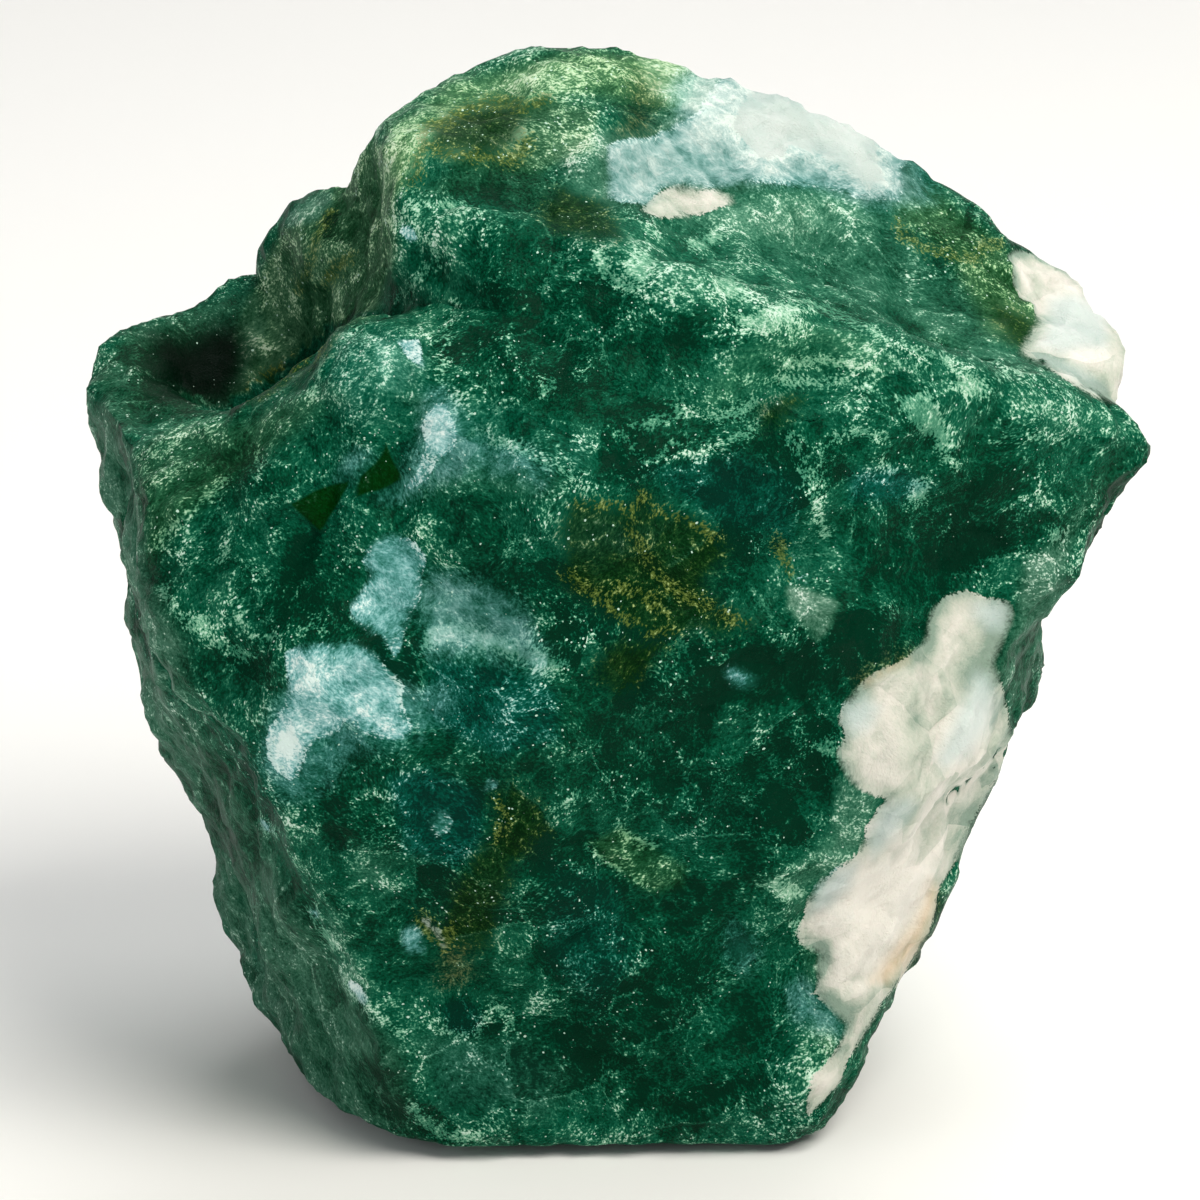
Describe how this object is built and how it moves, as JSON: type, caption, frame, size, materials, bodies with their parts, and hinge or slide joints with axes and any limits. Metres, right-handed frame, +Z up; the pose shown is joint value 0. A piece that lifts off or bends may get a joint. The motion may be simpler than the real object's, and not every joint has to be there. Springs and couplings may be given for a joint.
{
  "type": "raw moss agate",
  "caption": "Rough broken lump of green moss agate with white quartz, standing on a small flat.",
  "frame": {"origin": "middle of the stone's footprint box, on the surface that it stands on", "axes": "+Z up, +X to the right and -Y towards the viewer as the picture shows the stone"},
  "size_m": [0.0622, 0.0468, 0.0606],
  "materials": {
    "moss_agate": "broken green chalcedony with milky quartz patches and mossy inclusions, slightly glassy, unpolished"
  },
  "bodies": {
    "root": {"moss_agate": "moss_agate"}
  },
  "joints": []
}
